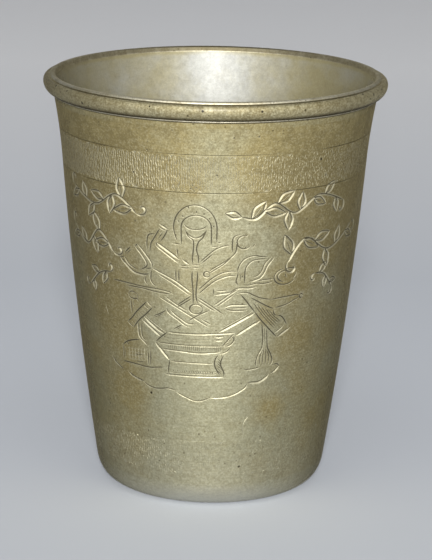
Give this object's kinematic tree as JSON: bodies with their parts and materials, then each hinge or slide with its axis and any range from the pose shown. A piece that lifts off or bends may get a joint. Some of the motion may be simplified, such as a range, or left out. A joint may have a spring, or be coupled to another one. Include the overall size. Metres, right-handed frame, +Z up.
{
  "type": "pewter beaker",
  "caption": "Tapered pewter drinking cup with a half-round lip ring, rounded foot and let-in base, engraved with turned bands and a trophy of smith's tools; stands free and holds a drink.",
  "frame": {"origin": "on the cup's axis at the table, under the middle of the foot", "axes": "+Z up along the cup's axis to the mouth, -Y towards the engraved front, +X to the right of the front"},
  "size_m": [0.0984, 0.0984, 0.12],
  "materials": {
    "pewter_wall": "old cast pewter, satin, with an olive-brown patina, small pits and fine scratches",
    "pewter_lip": "worn pewter, smoother than the wall, with dirt along its joints",
    "pewter_base": "turned pewter, dull, with lathe lines",
    "solder": "dull grey soft solder"
  },
  "bodies": {
    "root": {"cup_wall": "pewter_wall", "lip_ring": "pewter_lip", "lip_solder": "solder", "base_disc": "pewter_base", "base_solder": "solder"}
  },
  "joints": []
}
